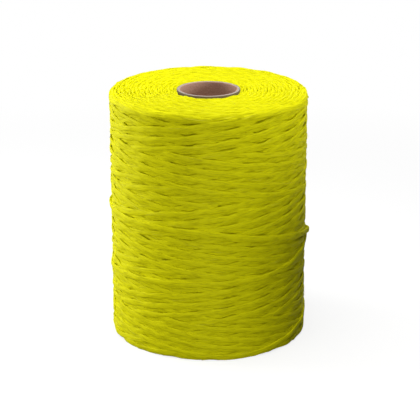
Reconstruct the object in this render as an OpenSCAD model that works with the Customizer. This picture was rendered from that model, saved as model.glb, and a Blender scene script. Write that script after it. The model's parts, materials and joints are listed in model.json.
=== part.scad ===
// A reel of flat polypropylene twine, cross-wound on a spiral-wound paper tube.
// The tube stands on Z = 0 with its axis on +Z. All sizes are in millimetres.
//
// The tube is a stack of thin paper plies, each a ring in its own node.
// The winding is one long twine. It fills up in full coverages, and each coverage is the
// stretch of twine that hides the one beneath it, so each is a ring in its own node too.

/* [Paper tube] */
// Bore of the tube, which a rod or spindle passes through
bore_d = 50; // [30:1:76]
// Length of the tube
tube_len = 220; // [120:1:320]
// Thickness of the brown paper that lines the bore
liner_t = 0.3; // [0.2:0.05:0.6]
// Thickness of one ply of grey board
board_t = 0.5; // [0.3:0.05:0.9]
// Number of grey board plies
board_plies = 4; // [3:1:8]
// Thickness of the paper wrapped round the outside of the board
wrap_t = 0.3; // [0.2:0.05:0.6]

/* [Winding] */
// Diameter of the full winding
winding_d = 172; // [120:1:240]
// Number of times the twine covers the tube from end to end
coverages = 17; // [6:1:40]
// How far the tube stands above the winding's top face
tube_proud = 0.5; // [0:0.5:4]
// Radius of the winding's soft outer edges
edge_r = 5; // [2:0.5:12]

/* [Hidden] */
// Facets of a full circle
$fn = 128;
// How far a cutter runs past the faces that it opens
cut_over = 1;

bore_r = bore_d / 2;
tube_r = bore_r + liner_t + board_plies * board_t + wrap_t;
winding_r = winding_d / 2;
winding_h = tube_len - tube_proud;
coverage_t = (winding_r - tube_r) / coverages;

paper_brown = [0.62, 0.49, 0.38];
board_grey = [0.72, 0.66, 0.60];
twine_yellow = [0.90, 0.88, 0.05];
twine_shade = [0.78, 0.77, 0.05];

// Node names, numbered outwards from the bore
function two_digits(i) = str(i < 10 ? "0" : "", i);
function board_name(i) = str("tube_board_ply_", i);
function coverage_name(i) = str("twine_coverage_", two_digits(i));

// A ring as long as the tube, from one radius to another
module tube_ring(inner_r, thickness) {
    difference() {
        cylinder(r = inner_r + thickness, h = tube_len);
        translate([0, 0, -cut_over])
            cylinder(r = inner_r, h = tube_len + 2 * cut_over);
    }
}

// Half of the winding's outline, to the right of its axis, with both outer edges rounded
module winding_outline() {
    square([winding_r - edge_r, winding_h]);
    translate([0, edge_r])
        square([winding_r, winding_h - 2 * edge_r]);
    for (z = [edge_r, winding_h - edge_r])
        translate([winding_r - edge_r, z])
            circle(r = edge_r);
}

// Brown paper that faces the bore
module tube_liner() {
    color(paper_brown)
        tube_ring(bore_r, liner_t);
}

// One ply of grey board, counted outwards
module tube_board_ply(i) {
    color(board_grey)
        tube_ring(bore_r + liner_t + (i - 1) * board_t, board_t);
}

// Paper on the outside of the board, which the twine lies on
module tube_wrap() {
    color(paper_brown)
        tube_ring(tube_r - wrap_t, wrap_t);
}

// One full coverage of twine, counted outwards, trimmed to the winding's rounded outline
module twine_coverage(i) {
    color(i % 2 == 0 ? twine_yellow : twine_shade)
        rotate_extrude()
            intersection() {
                winding_outline();
                translate([tube_r + (i - 1) * coverage_t, 0])
                    square([coverage_t, winding_h]);
            }
}

tube_liner();
for (i = [1:board_plies])
    tube_board_ply(i);
tube_wrap();
for (i = [1:coverages])
    twine_coverage(i);
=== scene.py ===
# %% [markdown]
# # A reel of yellow twine
#
# The real object is one very long, flat plastic twine, wound back and forth on a paper tube.
# There are no flanges: the winding holds itself together because every turn crosses the turns
# beneath it. Stripes on a cylinder would be quick to make, but they would never pass over and
# under one another. So this script winds the twine the way the machine does.
#
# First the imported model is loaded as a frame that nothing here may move.

# %% Load the frame
import json
import math

import bpy
import numpy as np
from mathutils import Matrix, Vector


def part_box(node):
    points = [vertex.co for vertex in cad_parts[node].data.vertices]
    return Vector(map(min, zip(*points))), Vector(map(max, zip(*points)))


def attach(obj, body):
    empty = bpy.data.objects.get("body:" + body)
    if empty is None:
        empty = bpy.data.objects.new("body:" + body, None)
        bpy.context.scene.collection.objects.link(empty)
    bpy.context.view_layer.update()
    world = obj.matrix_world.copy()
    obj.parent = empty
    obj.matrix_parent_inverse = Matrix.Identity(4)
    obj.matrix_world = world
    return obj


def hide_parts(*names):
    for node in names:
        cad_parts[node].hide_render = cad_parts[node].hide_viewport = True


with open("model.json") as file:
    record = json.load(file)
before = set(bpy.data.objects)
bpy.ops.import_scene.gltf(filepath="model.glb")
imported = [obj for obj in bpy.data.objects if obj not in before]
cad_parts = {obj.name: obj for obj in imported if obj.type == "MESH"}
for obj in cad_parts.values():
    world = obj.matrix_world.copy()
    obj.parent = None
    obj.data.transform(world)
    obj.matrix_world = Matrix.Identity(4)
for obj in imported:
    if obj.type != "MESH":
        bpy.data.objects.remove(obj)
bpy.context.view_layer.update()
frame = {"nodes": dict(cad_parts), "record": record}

MM = 0.001
rng = np.random.default_rng(7)
coverage_nodes = sorted(n for n in frame["nodes"] if n.startswith("twine_coverage_"))
ply_nodes = sorted(n for n in frame["nodes"] if n.startswith("tube_board_ply_"))
print(len(coverage_nodes), "coverages of twine and", len(ply_nodes), "plies of board")

# %% [markdown]
# ## Sizes
#
# Every place comes from the frame. The radius of the tube and of each coverage is half the
# width of its CAD node's box, so the twine lands where the CAD says.
#
# The radius of the winding's rounded edge isn't stored anywhere, but it can be worked out. The
# highest point of the outermost coverage, which is t thick, lies on that edge, lower than the
# winding's top by d. On a circle that gives the radius d + t + sqrt(2 * d * t).

# %% Sizes read from the frame
def outer_radius(node):
    """Half the widest side of a round node's box, in metres."""
    low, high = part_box(node)
    return max(high.x - low.x, high.y - low.y) / 2


bore_mount = next(m for m in frame["record"]["mounts"] if m["name"] == "tube_bore")
bore_r = bore_mount["dims"]["r_mm"] * MM
tube_r = outer_radius("tube_wrap")
tube_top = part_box("tube_wrap")[1].z
winding_r = outer_radius(coverage_nodes[-1])
winding_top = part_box(coverage_nodes[0])[1].z
coverage_t = (winding_r - tube_r) / len(coverage_nodes)
drop = winding_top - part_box(coverage_nodes[-1])[1].z
edge_r = drop + coverage_t + math.sqrt(2 * drop * coverage_t)
print(f"bore {bore_r:.4f}, tube {tube_r:.4f}, winding {winding_r:.4f} by {winding_top:.4f} m")

# %% [markdown]
# ## Camera
#
# The reel stands upright and is seen from a little above, through a long lens, so its sides
# draw together only slightly towards the bottom. The camera aims at the middle of the reel,
# and a very small shift puts it where it belongs in the frame.

# %% Camera
CAMERA_DISTANCE = 16.62 * winding_r
CAMERA_RISE = math.radians(18.51)
LENS_MM = 137.2
SENSOR_MM = 36.0
SHIFT_RIGHT, SHIFT_UP = 0.0036, -0.0040

reel_middle = np.array([0.0, 0.0, tube_top / 2])
toward_camera = np.array([0.0, -math.cos(CAMERA_RISE), math.sin(CAMERA_RISE)])
camera_data = bpy.data.cameras.new("camera")
camera_data.lens = LENS_MM
camera_data.sensor_width = SENSOR_MM
camera_data.shift_x = SHIFT_RIGHT
camera_data.shift_y = SHIFT_UP
camera_data.clip_start = 0.05
camera_data.clip_end = 50.0
camera = bpy.data.objects.new("camera", camera_data)
bpy.context.scene.collection.objects.link(camera)
camera.location = reel_middle + CAMERA_DISTANCE * toward_camera
camera.rotation_euler = (math.pi / 2 - CAMERA_RISE, 0.0, 0.0)
bpy.context.scene.camera = camera
print("camera at", [round(c, 3) for c in camera.location])

# %% [markdown]
# ## The path of the twine
#
# While the tube turns, a guide runs up and down it. In the time of a double stroke the tube
# makes 2/17 of a turn less than six turns. So after eight and a half double strokes the
# strands stand evenly round the reel with spaces between them, and the next eight and a half
# fall into those spaces: seventeen double strokes cover the reel once. The height is a
# triangle wave of the angle. The guide can't stop dead, so near each end the wave is rounded
# with a short parabola.

# %% The guide's motion
DOUBLE_STROKES = 17
STROKES_PER_COVERAGE = 2 * DOUBLE_STROKES
TURNS_PER_STROKE = (6 - 2 / DOUBLE_STROKES) / 2
REVERSAL_TURNS = 0.06
SAMPLES_PER_TURN = 720

stroke_samples = round(TURNS_PER_STROKE * SAMPLES_PER_TURN)
strokes_in_all = STROKES_PER_COVERAGE * len(coverage_nodes)


def guide_height(stroke_share):
    """Height share, 0 to 1, of the guide in an up stroke: a straight line whose first and last
    parts are parabolas, so that the speed is zero at both ends and constant between."""
    soft = REVERSAL_TURNS / TURNS_PER_STROKE
    end = np.minimum(stroke_share, 1 - stroke_share)
    risen = np.where(end < soft, end**2 / (2 * soft), end - soft / 2)
    risen = risen / (1 - soft)
    return np.where(stroke_share < 0.5, risen, 1 - risen)


print(strokes_in_all, "strokes of", stroke_samples, "samples")

# %% [markdown]
# ## The size of the strand
#
# Two layers of strands, one climbing and one falling, make a coverage, so a strand is half as
# thick as a coverage. The strands of the last coverage are a little thinner, which keeps the
# lines on the outside shallow, and they stand a tenth of a millimetre proud of the CAD's
# radius. The coverages beneath them share the thickness that is left.
#
# Real twine isn't even: it wanders, swells and narrows. A smooth random line stands for each
# of these. Random values on a coarse line, joined by cosine curves, have no sharp corners.

# %% The strand's size, and smooth random lines
STRAND_W = 5.4 * MM
LAST_T = coverage_t / 2.3
LAST_PROUD = 0.1 * MM

inner_pitch = (winding_r + LAST_PROUD - 2 * LAST_T - tube_r) / (len(coverage_nodes) - 1)
STRAND_T = inner_pitch / 2


def smooth_noise(count, wavelength, amount):
    """Random values on a coarse line, joined by cosine curves, count samples long."""
    knots = rng.uniform(-1, 1, int(count / wavelength) + 3)
    at = np.arange(count) / wavelength
    i = at.astype(int)
    s = (1 - np.cos(math.pi * (at - i))) / 2
    return amount * (knots[i] * (1 - s) + knots[i + 1] * s)


print(f"strand {STRAND_W / MM:.1f} by {STRAND_T / MM:.2f} mm, {LAST_T / MM:.2f} mm in the last coverage")

# %% [markdown]
# ## A map of the winding's surface
#
# The surface of the winding is kept as a map: for each angle and height, the radius reached
# so far. At first that is the tube's radius everywhere. A physics simulation of half a
# kilometre of twine would take hours, and this map does its work in seconds.

# %% The map
CELL_H = 0.5 * MM
MAP_MARGIN = 6 * MM

map_rows = int(round((winding_top + 2 * MAP_MARGIN) / CELL_H))
surface = np.full((SAMPLES_PER_TURN, map_rows), tube_r)


def rows_across(height, half_w, across):
    """Map rows under a strand: its height plus each share across of its half-width."""
    return ((height[:, None] + across * half_w[:, None] + MAP_MARGIN) / CELL_H).astype(int)


def running_max(values, reach):
    """Largest of each value and its neighbours up to reach samples away."""
    padded = np.pad(values, reach, mode="edge")
    return np.max([padded[k:k + len(values)] for k in range(2 * reach + 1)], axis=0)


def blur(values, reach):
    """Moving average with a raised-cosine window of that half-length."""
    window = 1 + np.cos(np.linspace(-math.pi, math.pi, 2 * reach + 3)[1:-1])
    padded = np.pad(values, reach, mode="edge")
    return np.convolve(padded, window / window.sum(), mode="valid")


print("a map of", surface.shape[0], "by", surface.shape[1], "cells")

# %% [markdown]
# ## Laying a strand
#
# A new strand lies on what is highest beneath its width. It is pulled tight, so it bridges the
# small hollows, and it beds into the soft strands below by a share of its own thickness. Then
# its top is added to the map. That is all it takes for the strands to go over and under one
# another as the real ones do.

# %% Laying a strand on the map
BEDDING = 0.28
SEAT_SHARE = 0.55
HIGHEST_WEIGHT = 0.4
PEAK_SAMPLES, BRIDGE_SAMPLES = 2, 7
SEAT_POINTS, TOP_POINTS = 5, 13


def lay(angle_steps, height, half_w, thick):
    """Lays a strand on the map and returns the radius of its centre line. The seat is a mix of
    the highest and the mean radius beneath the strand, carried over small hollows, smoothed
    along the strand, less the bedding. The top is an ellipse over the seat:
    thick * (0.5 + 0.5 * sqrt(1 - across^2))."""
    column = (angle_steps % SAMPLES_PER_TURN)[:, None]
    across = np.linspace(-SEAT_SHARE, SEAT_SHARE, SEAT_POINTS)
    under = surface[column, rows_across(height, half_w, across)]
    beneath = HIGHEST_WEIGHT * under.max(axis=1) + (1 - HIGHEST_WEIGHT) * under.mean(axis=1)
    seat = blur(running_max(beneath, PEAK_SAMPLES), BRIDGE_SAMPLES) - BEDDING * thick
    across = np.linspace(-1, 1, TOP_POINTS)
    top = seat[:, None] + thick[:, None] * (0.5 + 0.5 * np.sqrt(1 - across**2))
    np.maximum.at(surface, (column, rows_across(height, half_w, across)), top)
    return seat + thick / 2


print(f"a strand beds {BEDDING * STRAND_T / MM:.2f} mm into those beneath it")

# %% [markdown]
# ## Where the strokes turn back
#
# The winding's ends bulge a little. At the top the bulge grows from nothing at the tube to its
# full height at the outside. At the bottom the strands reach a little below the floor, and
# that part is laid flat on it when the strand is made, as the reel's weight does. The corners
# of the winding are soft, so strokes near the outside turn back sooner. The first coverage
# stops short of the rest, which leaves a thin groove beside the tube.

# %% Turning points
TOP_SWELL, BOTTOM_SWELL = 1.5 * MM, 1.4 * MM
TOP_SOFTNESS, BOTTOM_SOFTNESS = 0.35, 0.15
TUBE_GAP = 0.7 * MM


def end_inset(radius):
    """How far the rounded edge lies inside the winding's end at that radius: e - sqrt(e^2 - x^2)
    for an edge of radius e, where x is how far the radius reaches into it."""
    over = np.clip(radius - (winding_r - edge_r), 0, edge_r)
    return edge_r - math.sqrt(max(edge_r**2 - over**2, 0.0))


def turning_heights(coverage, within):
    """Lowest and highest centre line of a stroke, from its coverage and its number within it."""
    floor_r = tube_r + coverage * inner_pitch
    inset = end_inset(floor_r + coverage_t * (within + 0.5) / STROKES_PER_COVERAGE + STRAND_T / 2)
    at_tube = TUBE_GAP if coverage == 0 else 0.0
    outward = coverage / (len(coverage_nodes) - 1)
    low = STRAND_W / 2 - BOTTOM_SWELL + BOTTOM_SOFTNESS * inset + at_tube
    high = winding_top + TOP_SWELL * outward - STRAND_W / 2 - TOP_SOFTNESS * inset - at_tube
    return low, high


low, high = turning_heights(len(coverage_nodes) - 1, STROKES_PER_COVERAGE - 1)
print(f"the last stroke turns back at {low / MM:.1f} and {high / MM:.1f} mm")

# %% [markdown]
# ## Winding the reel
#
# The strokes are laid one after another from the tube outwards, and the angle of the first is
# chosen so that the last one ends a little to the right of the front. Before each new coverage
# the map settles: the pull of later turns presses what is beneath them flat. Along a stroke the
# twine wanders up and down and its width changes, and here and there the split tape is twisted
# into a narrow neck, where it is thicker.

# %% Wind all strokes
LAST_TURNBACK = math.radians(20)
SETTLED_BELOW, SETTLED_ABOVE = 0.2 * STRAND_T, 0.25 * STRAND_T
WANDER_MM, WANDER = 28, 0.35 * MM
SQUEEZE_MM, SQUEEZE = 30, 0.06
NECK_MM, NECK, NECK_FROM = 10, 0.55, 0.2
THICKENING = 0.4
END_SHARE = 1 / 20
LOW_JITTER_MM, HIGH_JITTER_MM = (-0.1, 0.15), (-0.1, 0.2)

last_step = LAST_TURNBACK / (2 * math.pi) * SAMPLES_PER_TURN
first_step = int(round(last_step - strokes_in_all * stroke_samples))


def settle(floor_r):
    """Moves the map's mean to floor_r and clips its hills and hollows."""
    level = surface - surface.mean() + floor_r
    surface[:] = np.clip(level, floor_r - SETTLED_BELOW, floor_r + SETTLED_ABOVE)


def lay_stroke(number, floor_r, low, high, thickness):
    """Lays one stroke between two heights. Returns, for each sample along it, the angle in
    steps, height, radius, half-width and half-thickness. The width is multiplied by
    1 + squeeze and the thickness by 1 - THICKENING * squeeze, where squeeze is a smooth random
    line less the necks. Wandering and necks fade out at the turning points."""
    count = stroke_samples + 1
    share = np.arange(count) / stroke_samples
    rise = 1 - guide_height(share) if number % 2 else guide_height(share)
    samples_per_mm = SAMPLES_PER_TURN / (2 * math.pi * floor_r / MM)
    free = np.clip(np.minimum(share, 1 - share) / END_SHARE, 0, 1)
    height = low + (high - low) * rise
    height = height + smooth_noise(count, WANDER_MM * samples_per_mm, WANDER) * free
    squeeze = smooth_noise(count, SQUEEZE_MM * samples_per_mm, SQUEEZE)
    squeeze -= NECK * np.clip(smooth_noise(count, NECK_MM * samples_per_mm, 1) - NECK_FROM, 0, 1) * free
    half_w = STRAND_W / 2 * (1 + squeeze)
    thick = thickness * (1 - THICKENING * squeeze)
    steps = first_step + number * stroke_samples + np.arange(count)
    return steps, height, lay(steps, height, half_w, thick), half_w, thick / 2


def wind():
    """All strokes in order. Each turning point is moved a little at random, and the two strokes
    that meet there share it."""
    laid = []
    low_jitter = high_jitter = 0.0
    for number in range(strokes_in_all):
        coverage, within = divmod(number, STROKES_PER_COVERAGE)
        floor_r = tube_r + coverage * inner_pitch
        thickness = LAST_T if coverage == len(coverage_nodes) - 1 else STRAND_T
        if within == 0:
            settle(floor_r)
        if number % 2:
            low_jitter = rng.uniform(*LOW_JITTER_MM) * MM
        else:
            high_jitter = rng.uniform(*HIGH_JITTER_MM) * MM
        low, high = turning_heights(coverage, within)
        laid.append(lay_stroke(number, floor_r, low + low_jitter, high - high_jitter, thickness))
    return laid


strokes = wind()
print(f"outside radius {surface.max():.4f}, mean {surface.mean():.4f} m")

# %% [markdown]
# ## The last turns, laid by hand
#
# When the reel is full, the twine is cut and the last two and a half turns are pulled on by
# hand. They rise from the bottom, cross themselves on the right and end under a neighbour at
# the back. They are slacker than the rest, so they stand out a little at the sides. No rule
# makes such a route, so it is a short list of places, joined by a smooth line.

# %% Route of the last turns
# Each place is degrees round from the front, anticlockwise from above, and millimetres up.
LAST_ROUTE = np.array([
    (20, 2), (28, 2.7), (45, 6), (90, 19), (180, 40), (270, 62), (330, 69),
    (391, 72), (412, 75), (440, 83.5), (458, 90), (540, 103), (620, 117), (640, 118),
    (689, 118), (718, 117), (762, 105), (800, 93.5), (818, 87.5), (880, 83), (925, 81),
])
# Each slack stretch is its place in degrees, how far it stands out in mm, and its width.
SLACK = [(452, 0.6, 10), (630, 0.6, 9), (812, 2.1, 10)]
SLACK_W, SLACK_T = 0.95 * STRAND_W, 1.05 * STRAND_T
SLACK_SQUEEZE_SAMPLES, SLACK_SQUEEZE, SLACK_THICKENING = 40, 0.08, 0.8
ROUTE_BLUR, RADIUS_BLUR = 20, 7
LAST_PARTS = 8
JOINING_SAMPLES = 60
TUCK_DEG, TUCK_DEPTH = 12, 1.2 * STRAND_T


def lay_last_turns():
    """Lays the hand-wound turns in parts of about a third of a turn, so that they rest on
    themselves where they cross. Heights run straight between the route's places and are
    blurred, so that they bend smoothly. Each slack stretch adds
    out * exp(-((angle - place) / width)^2) to the radius. The start fades in from the last
    stroke, and the end is tucked in."""
    route_deg, route_mm = LAST_ROUTE.T
    degrees = np.arange(route_deg[0], route_deg[-1], 360 / SAMPLES_PER_TURN)
    count = len(degrees)
    _, stroke_height, stroke_radius, stroke_half_w, _ = strokes[-1]
    start = np.clip(1 - np.arange(count) / JOINING_SAMPLES, 0, 1)
    height = blur(np.interp(degrees, route_deg, route_mm * MM), ROUTE_BLUR)
    height = height + (stroke_height[-1] - height[0]) * start
    squeeze = smooth_noise(count, SLACK_SQUEEZE_SAMPLES, SLACK_SQUEEZE)
    half_w = SLACK_W / 2 * (1 + squeeze)
    thick = SLACK_T - SLACK_THICKENING * STRAND_T * squeeze
    steps = np.round(degrees * SAMPLES_PER_TURN / 360).astype(int)
    parts = np.array_split(np.arange(count), LAST_PARTS)
    radius = np.concatenate([lay(steps[i], height[i], half_w[i], thick[i]) for i in parts])
    radius = blur(radius, RADIUS_BLUR)
    for place, out, width in SLACK:
        radius = radius + out * MM * np.exp(-((degrees - place) / width) ** 2)
    radius = radius + (stroke_radius[-1] - radius[0]) * start
    half_w = half_w + (stroke_half_w[-1] - half_w[0]) * start
    tuck = np.clip((degrees - (route_deg[-1] - TUCK_DEG)) / TUCK_DEG, 0, 1)
    return steps, height, radius - TUCK_DEPTH * tuck, half_w, thick / 2


last_turns = lay_last_turns()
print(f"last turns reach {last_turns[2].max():.4f} m")

# %% [markdown]
# ## Meshes from whole arrays
#
# A strand has far too many points for a loop, so points, faces and UVs are worked out as numpy
# arrays and go into the mesh in one call each. A strand is a closed tube: rings of points,
# quads between neighbouring rings, and a cap at each end.

# %% Meshes and tubes
def build_mesh(name, points, corner_lists):
    """A smooth mesh from points and arrays of faces, one array for each number of corners."""
    mesh = bpy.data.meshes.new(name)
    corners = np.concatenate([faces.ravel() for faces in corner_lists])
    sizes = np.concatenate([np.full(len(faces), faces.shape[1]) for faces in corner_lists])
    starts = np.concatenate([[0], np.cumsum(sizes)[:-1]])
    mesh.vertices.add(len(points))
    mesh.vertices.foreach_set("co", np.ascontiguousarray(points, np.float32).ravel())
    mesh.loops.add(len(corners))
    mesh.loops.foreach_set("vertex_index", corners.astype(np.int32))
    mesh.polygons.add(len(sizes))
    mesh.polygons.foreach_set("loop_start", starts.astype(np.int32))
    mesh.polygons.foreach_set("use_smooth", np.ones(len(sizes), bool))
    mesh.update(calc_edges=True)
    piece = bpy.data.objects.new(name, mesh)
    bpy.context.scene.collection.objects.link(piece)
    return piece


def tube_faces(rings, sides):
    """The ring and the side at which each quad of a tube starts, the quads, and the two caps.
    A quad's corners are (ring, side), (ring, side + 1), (next ring, side + 1) and
    (next ring, side), where point number is ring * sides + side."""
    ring, side = np.meshgrid(np.arange(rings - 1), np.arange(sides), indexing="ij")
    next_side = (side + 1) % sides
    quads = np.stack([ring * sides + side, ring * sides + next_side,
                      (ring + 1) * sides + next_side, (ring + 1) * sides + side], axis=-1)
    caps = np.stack([np.arange(sides)[::-1], (rings - 1) * sides + np.arange(sides)])
    return ring, side, quads.reshape(-1, 4), caps


print("a tube of 2 rings and 6 sides has", len(tube_faces(2, 6)[2]), "quads")

# %% [markdown]
# ## UV maps of a strand
#
# The fine streaks follow the strand, so its first UV map measures metres along it and the
# share of a turn around it. The second map, OFBake, is there for baking the finish into an
# image. A strand is hundreds of times as long as it is thick, so it is cut into equal lengths
# that lie side by side as rows and fill a square.

# %% UV maps
BAKE_EDGE = 0.002
BAKE_ROW_EDGE = 0.08


def put_uv(mesh, name, corners):
    """Adds a UV map from one pair of numbers for each face corner."""
    layer = mesh.uv_layers.new(name=name)
    layer.data.foreach_set("uv", np.ascontiguousarray(corners, np.float32).ravel())


def strand_uv(ring, side, sides, along):
    """Metres along and share around, for the quads' corners and then for the caps'."""
    u = np.stack([along[ring], along[ring], along[ring + 1], along[ring + 1]], axis=-1)
    v = np.stack([side, side + 1, side + 1, side], axis=-1) / sides
    cap_u = np.repeat([along[0], along[-1]], sides)
    cap_v = np.tile(np.arange(sides) / sides, 2)
    return np.concatenate([np.stack([u, v], -1).reshape(-1, 2), np.stack([cap_u, cap_v], -1)])


def folded_uv(ring, side, rings, sides, length, grid):
    """The strand's skin in rows: row = ring // rings in a row. There are sqrt(length / girth)
    rows, so that a row is as long as all the rows together are wide."""
    girth = np.linalg.norm(np.diff(grid[rings // 2], axis=0), axis=1).sum()
    rows = max(int(math.sqrt(length / girth)), 1)
    in_row = math.ceil((rings - 1) / rows)
    row, place = ring // in_row, ring % in_row
    u0 = BAKE_EDGE + (1 - 2 * BAKE_EDGE) * place / in_row
    u1 = BAKE_EDGE + (1 - 2 * BAKE_EDGE) * (place + 1) / in_row
    v0 = (row + BAKE_ROW_EDGE + (1 - 2 * BAKE_ROW_EDGE) * side / sides) / rows
    v1 = (row + BAKE_ROW_EDGE + (1 - 2 * BAKE_ROW_EDGE) * (side + 1) / sides) / rows
    quads = np.stack([np.stack([u0, v0], -1), np.stack([u0, v1], -1),
                      np.stack([u1, v1], -1), np.stack([u1, v0], -1)], axis=2)
    turn = np.linspace(0, 2 * math.pi, sides, endpoint=False)
    cap = 1 - BAKE_EDGE + BAKE_EDGE / 2 * np.stack([np.cos(turn), np.sin(turn)], axis=-1)
    return np.concatenate([quads.reshape(-1, 2), cap, cap])


def tube_piece(name, grid, along):
    """A closed tube from a grid of rings by sides. along is each ring's distance in metres."""
    rings, sides = grid.shape[:2]
    ring, side, quads, caps = tube_faces(rings, sides)
    piece = build_mesh(name, grid.reshape(-1, 3), [quads, caps])
    put_uv(piece.data, "strand", strand_uv(ring, side, sides, along))
    put_uv(piece.data, "OFBake", folded_uv(ring, side, rings, sides, along[-1] - along[0], grid))
    return piece


print("each strand gets the UV maps strand and OFBake")

# %% [markdown]
# ## From a line to a strand
#
# A strand is a profile carried along its path. At each point of the path there are three
# directions: along the path, outwards from the reel, and across the strand. Over the rounded
# edges the outward direction leans, so that the flat strand lies on them. The profile is a
# flat ellipse whose radius swells and shrinks a little as it turns, which gives the split,
# ropy look of this kind of twine.

# %% A strand along a path
ROPY = 0.07
SQUARENESS = 0.66
BOTTOM_LEAN = 0.4
FLOOR_CLEARANCE = 0.02 * MM
# Keeps an angle defined where both of its sides are zero.
TINY = 1e-6


def unit(vectors):
    """Each vector divided by its length."""
    return vectors / np.linalg.norm(vectors, axis=-1, keepdims=True)


def edge_tilt(radius, height):
    """How far the strand leans over the winding's rounded edges, as an angle: the direction
    from the centre of the edge's arc, faded in over the arc's width."""
    beyond = np.clip(radius - (winding_r - edge_r), 0, edge_r)
    above = np.clip(height - (winding_top - edge_r), 0, edge_r)
    below = BOTTOM_LEAN * np.clip(edge_r - height, 0, edge_r)
    return np.arctan2(above - below, beyond + TINY) * (beyond / edge_r)


def path_frame(angle, height, radius, tilt):
    """Points of a path round the reel, and the directions outwards and across at each. Outwards
    points away from the axis, raised by tilt, less its part along the path."""
    line = np.stack([radius * np.sin(angle), -radius * np.cos(angle), height], axis=-1)
    forward = unit(np.gradient(line, axis=0))
    level = np.cos(tilt)
    outward = np.stack([level * np.sin(angle), -level * np.cos(angle), np.sin(tilt)], axis=-1)
    outward = unit(outward - (outward * forward).sum(-1, keepdims=True) * forward)
    return line, outward, np.cross(outward, forward)


def strand_grid(angle, height, radius, half_w, half_t, sides):
    """Rings of points, and each ring's distance along. A ring is a flattened ellipse across the
    path, cos(p) and sin(p) to the power SQUARENESS, and its radius is changed by two waves that
    wind along the strand: 1 + ROPY * cos(3p + s/4) + ROPY * cos(5p - s/7), with s in mm.
    Points below the floor are raised to it."""
    line, outward, across = path_frame(angle, height, radius, edge_tilt(radius, height))
    along = np.concatenate([[0], np.cumsum(np.linalg.norm(np.diff(line, axis=0), axis=1))])
    p = np.linspace(0, 2 * math.pi, sides, endpoint=False)[None, :] - math.pi / 2
    s = along[:, None] / MM
    swell = 1 + ROPY * np.cos(3 * p + s / 4) + ROPY * np.cos(5 * p - s / 7)
    wide = half_w[:, None] * np.sign(np.cos(p)) * np.abs(np.cos(p)) ** SQUARENESS * swell
    tall = half_t[:, None] * np.sign(np.sin(p)) * np.abs(np.sin(p)) ** SQUARENESS * swell
    grid = line[:, None] + wide[..., None] * across[:, None] + tall[..., None] * outward[:, None]
    grid[..., 2] = np.maximum(grid[..., 2], FLOOR_CLEARANCE * (1 + np.sin(p)))
    return grid, along


corner_tilt = edge_tilt(np.array([winding_r]), np.array([winding_top]))[0]
print(f"at the corner a strand leans {math.degrees(corner_tilt):.0f} degrees")

# %% [markdown]
# ## The pieces of twine
#
# Each coverage is a piece, which stands for its CAD node, and the last one is four pieces, to
# keep each mesh small. Only the last coverage is seen in full. The one beneath it shows through
# gaps, and the others only at the ends of the reel. So the strand is modelled finely outside
# and more coarsely towards the tube: every third, sixth or fifteenth sample becomes a ring, of
# 12, 8 or 6 sides. Where a coarse stroke turns back, every tenth sample is kept.

# %% Make the twine
OUTSIDE_DETAIL, NEXT_DETAIL, INNER_DETAIL = (3, 12), (6, 8), (15, 6)
PIECES_OF_LAST = 4
COARSEST_AT_ENDS = 10
TURNBACK_SAMPLES = 0.17 * SAMPLES_PER_TURN
twine_pieces = []


def join_strokes(chosen, step):
    """Consecutive strokes as one path, up to where the next piece begins, keeping every
    step-th sample, and more of them near the ends where the step is large. The hand-wound turns
    go on where the last stroke ends."""
    parts = []
    fine = min(step, COARSEST_AT_ENDS)
    for number in chosen:
        index = np.arange(stroke_samples)
        near_end = np.minimum(index, stroke_samples - index) < TURNBACK_SAMPLES
        keep = np.where(near_end, index % fine == 0, index % step == 0)
        parts.append(np.stack(strokes[number])[:, :-1][:, keep])
    if chosen[-1] == len(strokes) - 1:
        parts.append(np.stack(last_turns)[:, ::step])
    else:
        parts.append(np.stack(strokes[chosen[-1]])[:, -1:])
    joined = np.concatenate(parts, axis=1)
    joined[0] *= 2 * math.pi / SAMPLES_PER_TURN
    return joined


def twine_piece(name, chosen, node, step, sides):
    """One stretch of the twine, which stands for that CAD node. Returns its length."""
    grid, along = strand_grid(*join_strokes(chosen, step), sides)
    piece = tube_piece(name, grid, along)
    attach(piece, "root")
    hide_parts(node)
    twine_pieces.append(piece)
    return along[-1]


twine_length = 0.0
by_coverage = np.arange(strokes_in_all).reshape(-1, STROKES_PER_COVERAGE)
for number, node in enumerate(coverage_nodes[:-1]):
    detail = NEXT_DETAIL if node == coverage_nodes[-2] else INNER_DETAIL
    twine_length += twine_piece(f"twine_turns_{number + 1:02d}", by_coverage[number], node, *detail)
for part, chosen in enumerate(np.array_split(by_coverage[-1], PIECES_OF_LAST)):
    twine_length += twine_piece(
        f"twine_outside_{part + 1}", chosen, coverage_nodes[-1], *OUTSIDE_DETAIL)
print(f"{len(twine_pieces)} pieces, {twine_length:.0f} m of twine")

# %% [markdown]
# ## Split fibres
#
# The tape is split into fine fibres when it is made, and some of them come loose. A few
# hundred short ones lie along the outside, each a thin tube that lifts off the strand and
# comes back: its height above the strand is lift * sin(pi * s)^2 for s from 0 to 1.

# %% Loose fibres
LOOSE_FIBRES = 260
FIBRE_R = 0.09 * MM
FIBRE_RINGS, FIBRE_SIDES = 9, 3
FIBRE_LENGTH_MM, LIFT_MM, DRIFT_MM = (9, 26), (0.2, 1.3), (-2.0, 2.0)
ACROSS_SHARE = (-0.6, 0.6)
ROOT_SHARE = 0.95


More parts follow.
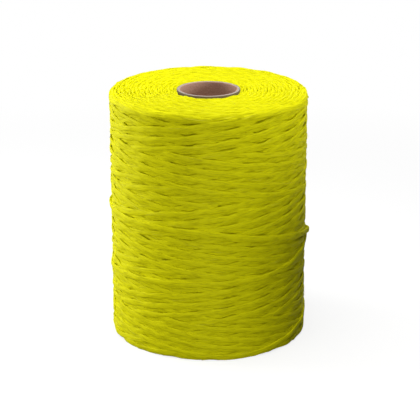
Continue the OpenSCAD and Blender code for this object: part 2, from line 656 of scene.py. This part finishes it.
def one_fibre():
    """Rings of a fibre on a random stretch of a random outside stroke. It starts somewhere
    across the strand and drifts off sideways as s^2. It is thickest in the middle."""
    first = strokes_in_all - STROKES_PER_COVERAGE
    steps, height, radius, half_w, half_t = strokes[first + rng.integers(STROKES_PER_COVERAGE)]
    length = rng.uniform(*FIBRE_LENGTH_MM) * MM
    span = int(length / (2 * math.pi * winding_r) * SAMPLES_PER_TURN)
    begin = rng.integers(0, len(steps) - span - 1)
    s = np.linspace(0, 1, FIBRE_RINGS)
    index = (begin + s * span).astype(int)
    lift = half_t[index] * ROOT_SHARE + rng.uniform(*LIFT_MM) * MM * np.sin(math.pi * s) ** 2
    drift = rng.uniform(*ACROSS_SHARE) * half_w[index] + rng.uniform(*DRIFT_MM) * MM * s**2
    angle = steps[index] * 2 * math.pi / SAMPLES_PER_TURN
    z = np.clip(height[index] + drift, 1 * MM, winding_top - 1 * MM)
    line, outward, across = path_frame(angle, z, radius[index] + lift, np.zeros(FIBRE_RINGS))
    p = np.linspace(0, 2 * math.pi, FIBRE_SIDES, endpoint=False)[None, :, None]
    r = FIBRE_R * np.sin(math.pi * np.linspace(0.12, 0.88, FIBRE_RINGS))[:, None, None]
    return line[:, None] + r * (np.cos(p) * across[:, None] + np.sin(p) * outward[:, None])


def many_tubes(name, grids):
    """Many small closed tubes in one mesh, from an array of tubes by rings by sides."""
    tubes, rings, sides = grids.shape[:3]
    _, _, quads, caps = tube_faces(rings, sides)
    shift = (np.arange(tubes) * rings * sides)[:, None, None]
    all_faces = [(quads + shift).reshape(-1, 4), (caps + shift).reshape(-1, sides)]
    return build_mesh(name, grids.reshape(-1, 3), all_faces)


fibres = many_tubes("twine_loose_fibres", np.array([one_fibre() for _ in range(LOOSE_FIBRES)]))
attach(fibres, "root")
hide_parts(coverage_nodes[-1])
print(len(fibres.data.polygons), "faces of loose fibres")

# %% [markdown]
# ## The paper tube
#
# The tube is made of plies, glued one over another. Each is a strip wound as a helix, whose
# edges meet in a butt seam. The saw that cut the tube left the plies' edges a little uneven
# and soft. Each ply is a closed outline carried round the axis, and only the liner, which is
# seen inside the bore, needs its seam.

# %% Plies of the tube
AROUND_TUBE = 192
SEAM_PITCH = 96 * MM
SEAM_W = 0.5 * MM
SEAM_DEPTH = 0.12 * MM
LINER_ROWS, PLY_ROWS = 220, 12
LINER_FUZZ, PLY_FUZZ = 0.15 * MM, 0.12 * MM
EDGE_SOFTNESS = 0.25


def ring_piece(name, grid):
    """A closed ring from a grid of turns by outline points; both directions wrap round."""
    turns, points = grid.shape[:2]
    i, j = np.meshgrid(np.arange(turns), np.arange(points), indexing="ij")
    i2, j2 = (i + 1) % turns, (j + 1) % points
    quads = np.stack([i * points + j, i * points + j2, i2 * points + j2, i2 * points + j], axis=-1)
    return build_mesh(name, grid.reshape(-1, 3), [quads.reshape(-1, 4)])


def ply_piece(name, inner, node, seam_depth, rows, fuzz):
    """A ring from the radius inner to the node's outside. Its outline goes up the inner wall,
    over the cut edge, down the outer wall and back under. The inner wall dips at the seam:
    depth * exp(-(distance to the seam / width)^2). The top's cut edge falls by a noise of the
    angle."""
    outer = outer_radius(node)
    low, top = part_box(node)[0].z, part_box(node)[1].z
    soft = EDGE_SOFTNESS * (outer - inner)
    wall = low + soft + (top - low - 2 * soft) * np.linspace(0, 1, rows)
    r = np.concatenate([np.full(rows, inner), [inner + soft, outer - soft],
                        np.full(rows, outer), [outer - soft, inner + soft]])
    z = np.concatenate([wall, [top, top], wall[::-1], [low, low]])
    r, z = np.repeat(r[None, :], AROUND_TUBE, 0), np.repeat(z[None, :], AROUND_TUBE, 0)
    knots = rng.uniform(-1, 0, AROUND_TUBE // 2)
    at_knots = np.arange(len(knots)) * 2
    uneven = np.interp(np.arange(AROUND_TUBE), at_knots, knots, period=AROUND_TUBE) * fuzz
    z = z + uneven[:, None] * (z > top - (outer - inner))
    turn = np.linspace(0, 2 * math.pi, AROUND_TUBE, endpoint=False)[:, None]
    past_seam = (z - SEAM_PITCH * turn / (2 * math.pi) + SEAM_PITCH / 2) % SEAM_PITCH
    groove = seam_depth * np.exp(-((past_seam - SEAM_PITCH / 2) / SEAM_W) ** 2)
    r = r + groove * (np.arange(r.shape[1]) < rows)
    piece = ring_piece(name, np.stack([r * np.sin(turn), -r * np.cos(turn), z], axis=-1))
    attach(piece, "root")
    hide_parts(node)
    return piece


liner = ply_piece("tube_liner_paper", bore_r, "tube_liner", SEAM_DEPTH, LINER_ROWS, LINER_FUZZ)
boards = []
beneath = "tube_liner"
for node in ply_nodes:
    name = node.replace("tube_", "tube_grey_")
    boards.append(ply_piece(name, outer_radius(beneath), node, 0.0, PLY_ROWS, PLY_FUZZ))
    beneath = node
outer_paper = ply_piece(
    "tube_outer_paper", outer_radius(beneath), "tube_wrap", 0.0, PLY_ROWS, PLY_FUZZ)
print("a liner,", len(boards), "plies of board and an outer paper")

# %% [markdown]
# ## Materials
#
# Every finish on the reel is one dyed or pulpy stuff whose tone and relief change together,
# though on the twine the darker tone is partly painted shadow in the slits.
# So one helper runs a pattern through a colour ramp into the colour, and through a bump into
# the surface. What differs is the pattern, and what it follows.

# %% Helpers for materials
def new_material(name, color, roughness):
    """A material with one Principled shader; returns it, its node tree and that shader."""
    material = bpy.data.materials.new(name)
    material.use_nodes = True
    tree = material.node_tree
    shader = tree.nodes["Principled BSDF"]
    shader.inputs["Base Color"].default_value = (*color, 1)
    shader.inputs["Roughness"].default_value = roughness
    return material, tree, shader


def add(tree, kind, **sockets):
    """A new node with values on its sockets; underscores in a name stand for spaces."""
    node = tree.nodes.new(kind)
    for socket, value in sockets.items():
        node.inputs[socket.replace("_", " ")].default_value = value
    return node


def color_and_bump(tree, shader, pattern, stops, strength, distance):
    """Runs a pattern through a ramp into the colour, and through a bump into the normal. stops
    are two pairs of a place in the pattern and a colour."""
    ramp = tree.nodes.new("ShaderNodeValToRGB")
    for element, (place, color) in zip(ramp.color_ramp.elements, stops):
        element.position = place
        element.color = (*color, 1)
    tree.links.new(pattern, ramp.inputs["Fac"])
    tree.links.new(ramp.outputs["Color"], shader.inputs["Base Color"])
    bump = add(tree, "ShaderNodeBump", Strength=strength, Distance=distance)
    tree.links.new(pattern, bump.inputs["Height"])
    tree.links.new(bump.outputs["Normal"], shader.inputs["Normal"])


print(len(bpy.data.materials), "materials come with the frame")

# %% [markdown]
# ## Twine, board and paper
#
# The twine is split plastic tape, dyed through. It has a faint shine, and fine streaks that run
# the length of the strand: a noise on the strand's own UV map, drawn out along it. The dark
# streaks are partly a real change of tone and partly painted shadow in the slits between the
# split fibres. Paper and board are matt, with blotches of pulp that have no direction, so their
# noise reads Object coordinates. A single loose fibre is too thin to show streaks, so it has a
# plain finish.

# %% Twine, board and paper
# The darker twine colour is partly its own tone and partly painted shadow in the slits between fibres.
TWINE_STREAK_AND_SLIT_SHADOW, TWINE_LIGHT = (0.64, 0.62, 0.002), (0.83, 0.81, 0.004)
STREAKS_PER_M, STREAKS_AROUND = 95, 14


def twine_material():
    """Yellow plastic twine, streaked along its length. The dark streaks are partly real tone and
    partly painted shadow in the slits between fibres.
    """
    material, tree, shader = new_material("yellow twine", TWINE_LIGHT, 0.6)
    shader.inputs["Specular IOR Level"].default_value = 0.04
    uv = tree.nodes.new("ShaderNodeUVMap")
    uv.uv_map = "strand"
    stretch = add(tree, "ShaderNodeMapping", Scale=(STREAKS_PER_M, STREAKS_AROUND, 1))
    tree.links.new(uv.outputs["UV"], stretch.inputs["Vector"])
    streak_and_slit_shadow = add(tree, "ShaderNodeTexNoise", Scale=1.0, Detail=3.0, Roughness=0.6)
    tree.links.new(stretch.outputs["Vector"], streak_and_slit_shadow.inputs["Vector"])
    # The darker stop is partly real tone and partly painted shadow in the slits between fibres.
    stops = [(0.36, TWINE_STREAK_AND_SLIT_SHADOW), (0.52, TWINE_LIGHT)]
    color_and_bump(tree, shader, streak_and_slit_shadow.outputs["Fac"], stops, 0.7, 0.5 * MM)
    return material


def paper_material(name, dark, light, scale):
    """Matt paper: blotches of two shades, with a fine tooth."""
    material, tree, shader = new_material(name, light, 0.85)
    place = tree.nodes.new("ShaderNodeTexCoord")
    pulp = add(tree, "ShaderNodeTexNoise", Scale=scale, Detail=5.0, Roughness=0.65)
    tree.links.new(place.outputs["Object"], pulp.inputs["Vector"])
    stops = [(0.35, dark), (0.65, light)]
    color_and_bump(tree, shader, pulp.outputs["Fac"], stops, 0.3, 0.2 * MM)
    return material


twine = twine_material()
loose_fibre, _, _ = new_material("yellow fibre", (0.86, 0.84, 0.03), 0.5)
brown = paper_material("brown paper", (0.46, 0.26, 0.18), (0.62, 0.39, 0.28), 900)
board = paper_material("grey board", (0.35, 0.30, 0.26), (0.47, 0.41, 0.37), 1400)
# The outer paper is brown paper painted far darker than the liner: the darkness is painted shade for the
# gap between the tube and the twine.
brown_paper_with_painted_gap_shade = paper_material("brown paper with painted gap shade", (0.10, 0.08, 0.04), (0.16, 0.12, 0.06), 1200)
for piece in twine_pieces:
    piece.data.materials.append(twine)
for board_ply in boards:
    board_ply.data.materials.append(board)
fibres.data.materials.append(loose_fibre)
liner.data.materials.append(brown)
outer_paper.data.materials.append(brown_paper_with_painted_gap_shade)
print("materials:", [m.name for m in (twine, loose_fibre, brown, board, brown_paper_with_painted_gap_shade)])

# %% [markdown]
# ## Floor and world
#
# The reel stands on a white floor in a white studio. A floor lit to pure white would throw so
# much light back that the reel lost its shading. So the rays from the camera, and glossy and
# transmitted ones, meet a bright floor and world, and the rays that light the reel meet dim
# ones. Near the reel the bright floor still shows its shadow, and further out it fades to
# plain white.

# %% Floor and world
FLOOR_SIDE = 8.0
FLOOR_Z = -0.1 * MM
FADE_FROM, FADE_TO = 0.2, 0.8
WORLD_LIGHT = 0.02


def background_rays(tree):
    """A socket that is 1 for the rays that should see a white background: those from the
    camera, and glossy or transmitted ones."""
    rays = tree.nodes.new("ShaderNodeLightPath")
    total = rays.outputs["Is Camera Ray"]
    for kind in ("Is Glossy Ray", "Is Transmission Ray"):
        plus = tree.nodes.new("ShaderNodeMath")
        tree.links.new(total, plus.inputs[0])
        tree.links.new(rays.outputs[kind], plus.inputs[1])
        total = plus.outputs["Value"]
    return total


def mix(tree, share, first, second):
    """A shader that goes from the first to the second as share goes from 0 to 1."""
    node = tree.nodes.new("ShaderNodeMixShader")
    tree.links.new(share, node.inputs["Fac"])
    tree.links.new(first, node.inputs[1])
    tree.links.new(second, node.inputs[2])
    return node.outputs["Shader"]


def floor_material():
    """White with a shadow near the reel, plain white far from it, and dim for the rays that
    light the reel."""
    material, tree, shader = new_material("white floor", (0.3, 0.3, 0.3), 0.9)
    shader.inputs["Specular IOR Level"].default_value = 0.0
    glow = add(tree, "ShaderNodeEmission", Color=(1, 1, 1, 1), Strength=0.8)
    near = tree.nodes.new("ShaderNodeAddShader")
    tree.links.new(shader.outputs["BSDF"], near.inputs[0])
    tree.links.new(glow.outputs["Emission"], near.inputs[1])
    place = tree.nodes.new("ShaderNodeTexCoord")
    distance = tree.nodes.new("ShaderNodeVectorMath")
    distance.operation = "LENGTH"
    tree.links.new(place.outputs["Object"], distance.inputs[0])
    fade = add(tree, "ShaderNodeMapRange", From_Min=FADE_FROM, From_Max=FADE_TO)
    tree.links.new(distance.outputs["Value"], fade.inputs["Value"])
    white = add(tree, "ShaderNodeEmission", Color=(1, 1, 1, 1), Strength=1.0)
    dim = add(tree, "ShaderNodeBsdfDiffuse", Color=(0.12, 0.12, 0.12, 1))
    bright = mix(tree, fade.outputs["Result"], near.outputs["Shader"], white.outputs["Emission"])
    seen = mix(tree, background_rays(tree), dim.outputs["BSDF"], bright)
    tree.links.new(seen, tree.nodes["Material Output"].inputs["Surface"])
    return material


def studio_world():
    """White where it is seen, and almost dark where it would light the reel."""
    world = bpy.data.worlds.new("studio")
    world.use_nodes = True
    tree = world.node_tree
    sky = tree.nodes["Background"]
    sky.inputs["Color"].default_value = (1, 1, 1, 1)
    sky.inputs["Strength"].default_value = WORLD_LIGHT
    white = add(tree, "ShaderNodeBackground", Color=(1, 1, 1, 1), Strength=1.0)
    seen = mix(tree, background_rays(tree), sky.outputs["Background"], white.outputs["Background"])
    tree.links.new(seen, tree.nodes["World Output"].inputs["Surface"])
    return world


corners = FLOOR_SIDE / 2 * np.array([[-1, -1], [1, -1], [1, 1], [-1, 1]])
floor = build_mesh("floor", np.column_stack([corners, np.full(4, FLOOR_Z)]), [np.array([[0, 1, 2, 3]])])
floor.data.materials.append(floor_material())
bpy.context.scene.world = studio_world()
print(f"a floor {FLOOR_SIDE:.0f} m wide")

# %% [markdown]
# ## Lamps
#
# Soft square lamps give soft shading. One hangs over the reel and lights the top face most.
# Two stand on the left, one low and near, one further round to the front. A small one low at
# the front keeps the foot of the reel from going dark. A spot from the right reaches only the
# upper half, so the right side grows darker towards the floor.

# %% Lamps
# Name, place, target, size in metres and watts.
SQUARE_LAMPS = [
    ("overhead", (0, 0, 0.8), (0, 0, 0.1), 0.6, 5.3),
    ("low left", (-0.7, 0.18, 0.25), (0, 0, 0.1), 0.45, 4.9),
    ("front left", (-0.7, -1.3, 0.25), (0, 0, 0.1), 0.4, 1.5),
    ("low front", (0, -0.5, 0.06), (0, 0, 0.05), 0.2, 0.76),
]
SPOT_ANGLE = math.radians(24)
SPOT_RADIUS = 0.1
SPOT_WATTS = 10


def lamp(name, kind, place, target, watts):
    """A lamp of that kind at place, pointing at target; returns its settings."""
    data = bpy.data.lights.new(name, kind)
    data.energy = watts
    holder = bpy.data.objects.new(name, data)
    bpy.context.scene.collection.objects.link(holder)
    away = np.array(place, float) - np.array(target, float)
    flat = math.hypot(away[0], away[1])
    holder.location = place
    holder.rotation_euler = (math.atan2(flat, away[2]), 0, math.atan2(away[0], -away[1]))
    return data


for name, place, target, size, watts in SQUARE_LAMPS:
    lamp(name, "AREA", place, target, watts).size = size
spot = lamp("upper right", "SPOT", (0.5, -0.15, 0.32), (0.085, -0.02, 0.25), SPOT_WATTS)
spot.spot_size = SPOT_ANGLE
spot.spot_blend = 1.0
spot.shadow_soft_size = SPOT_RADIUS
bpy.context.scene.view_settings.view_transform = "Standard"
print(len(bpy.data.lights), "lamps")
